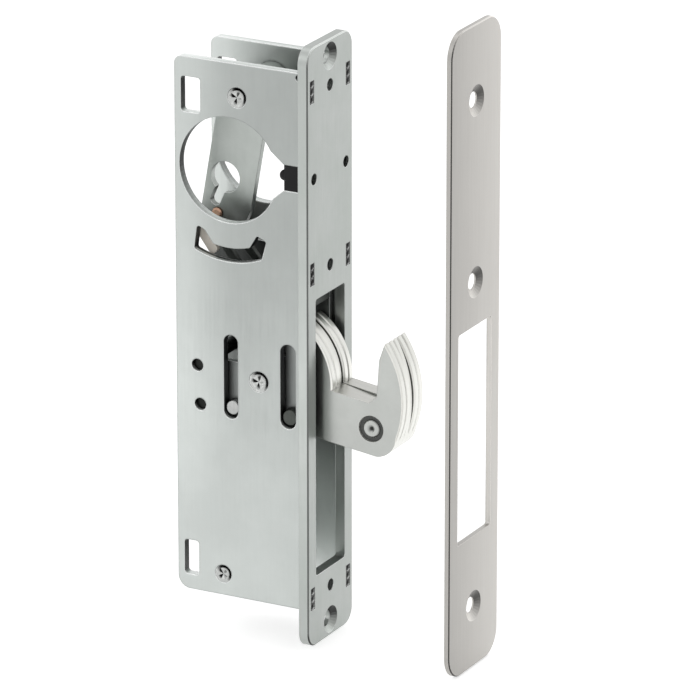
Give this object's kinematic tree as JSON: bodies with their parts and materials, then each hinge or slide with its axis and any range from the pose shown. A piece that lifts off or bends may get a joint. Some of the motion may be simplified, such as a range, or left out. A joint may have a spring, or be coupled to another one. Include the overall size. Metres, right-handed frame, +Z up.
{
  "type": "sliding patio door lock",
  "caption": "Narrow mortise lock for a sliding door, with a laminated hook that swings out of a slotted front plate, and a separate satin cover plate.",
  "frame": {"origin": "on the outer face of the front plate, in its middle, halfway between the two end screws", "axes": "+X out of the front of the lock towards the strike, +Z up the door's edge, +Y across the lock's thickness"},
  "size_m": [0.0839, 0.0286, 0.1794],
  "materials": {
    "zinc_plate": "zinc plated",
    "zinc_rivet": "zinc plated",
    "black_steel": "black oxide",
    "hook_steel": "bright stainless",
    "slide_steel": "zinc plated",
    "spring_steel": "oiled",
    "lever_steel": "zinc plated",
    "copper_rivet": "copper",
    "foot_plastic": "moulded",
    "satin_cover": "satin brushed"
  },
  "bodies": {
    "case": {"front_plate": "zinc_plate", "near_side_plate": "zinc_plate", "far_side_plate": "zinc_plate", "top_post": "zinc_rivet", "bottom_post": "zinc_rivet", "hook_pivot_pin": "zinc_rivet", "high_stop_pin": "black_steel", "low_stop_pin": "black_steel", "clamp_block": "black_steel", "near_lever_spacer": "lever_steel", "far_lever_spacer": "lever_steel", "return_spring": "spring_steel"},
    "hook": {"hook_ply_1": "hook_steel", "hook_ply_2": "hook_steel", "hook_ply_3": "hook_steel", "hook_ply_4": "hook_steel", "hook_ply_5": "hook_steel", "hook_rivet": "hook_steel", "near_hook_washer": "slide_steel", "far_hook_washer": "slide_steel"},
    "lift_slide": {"near_slide_plate": "slide_steel", "far_slide_plate": "slide_steel", "drive_pin": "slide_steel", "near_guide_stud": "slide_steel", "far_guide_stud": "slide_steel", "slide_crossbar": "slide_steel", "cam_plate": "slide_steel"},
    "key_lever": {"cam_lever": "lever_steel", "lever_rivet": "copper_rivet", "lever_pin": "lever_steel", "near_lever_foot": "foot_plastic", "far_lever_foot": "foot_plastic"},
    "near_screw": {"near_clamp_screw": "black_steel"},
    "far_screw": {"far_clamp_screw": "black_steel"},
    "cover": {"cover_plate": "satin_cover"}
  },
  "joints": [
    {"name": "hook_swing", "type": "hinge", "parent": "case", "child": "hook", "pos_m": [-0.0156, 0, -0.0105], "axis": [0, 1, 0], "range_deg": [0, 98]},
    {"name": "slide_lift", "type": "slide", "parent": "case", "child": "lift_slide", "axis": [0, 0, 1], "range_m": [0, 0.018], "stiffness_N_per_m": 400, "springref_m": -0.0125, "deforming": ["return_spring"]},
    {"name": "lever_turn", "type": "hinge", "parent": "case", "child": "key_lever", "pos_m": [-0.0218, 0, 0.0679], "axis": [0, -1, 0], "range_deg": [0, 23.5]},
    {"name": "near_clamp", "type": "slide", "parent": "case", "child": "near_screw", "axis": [-1, 0, 0], "range_m": [-0.0006, 0.0031]},
    {"name": "far_clamp", "type": "slide", "parent": "case", "child": "far_screw", "axis": [-1, 0, 0], "range_m": [-0.0006, 0.0031]},
    {"name": "cover_seat", "type": "slide", "parent": "case", "child": "cover", "axis": [-0.9991, 0, -0.0431], "range_m": [0, 0.0417]}
  ],
  "couplings": [
    {"joint": "slide_lift", "follows": "hook_swing", "m_per_rad": 0.010523},
    {"joint": "lever_turn", "follows": "hook_swing", "ratio": 0.2397}
  ]
}
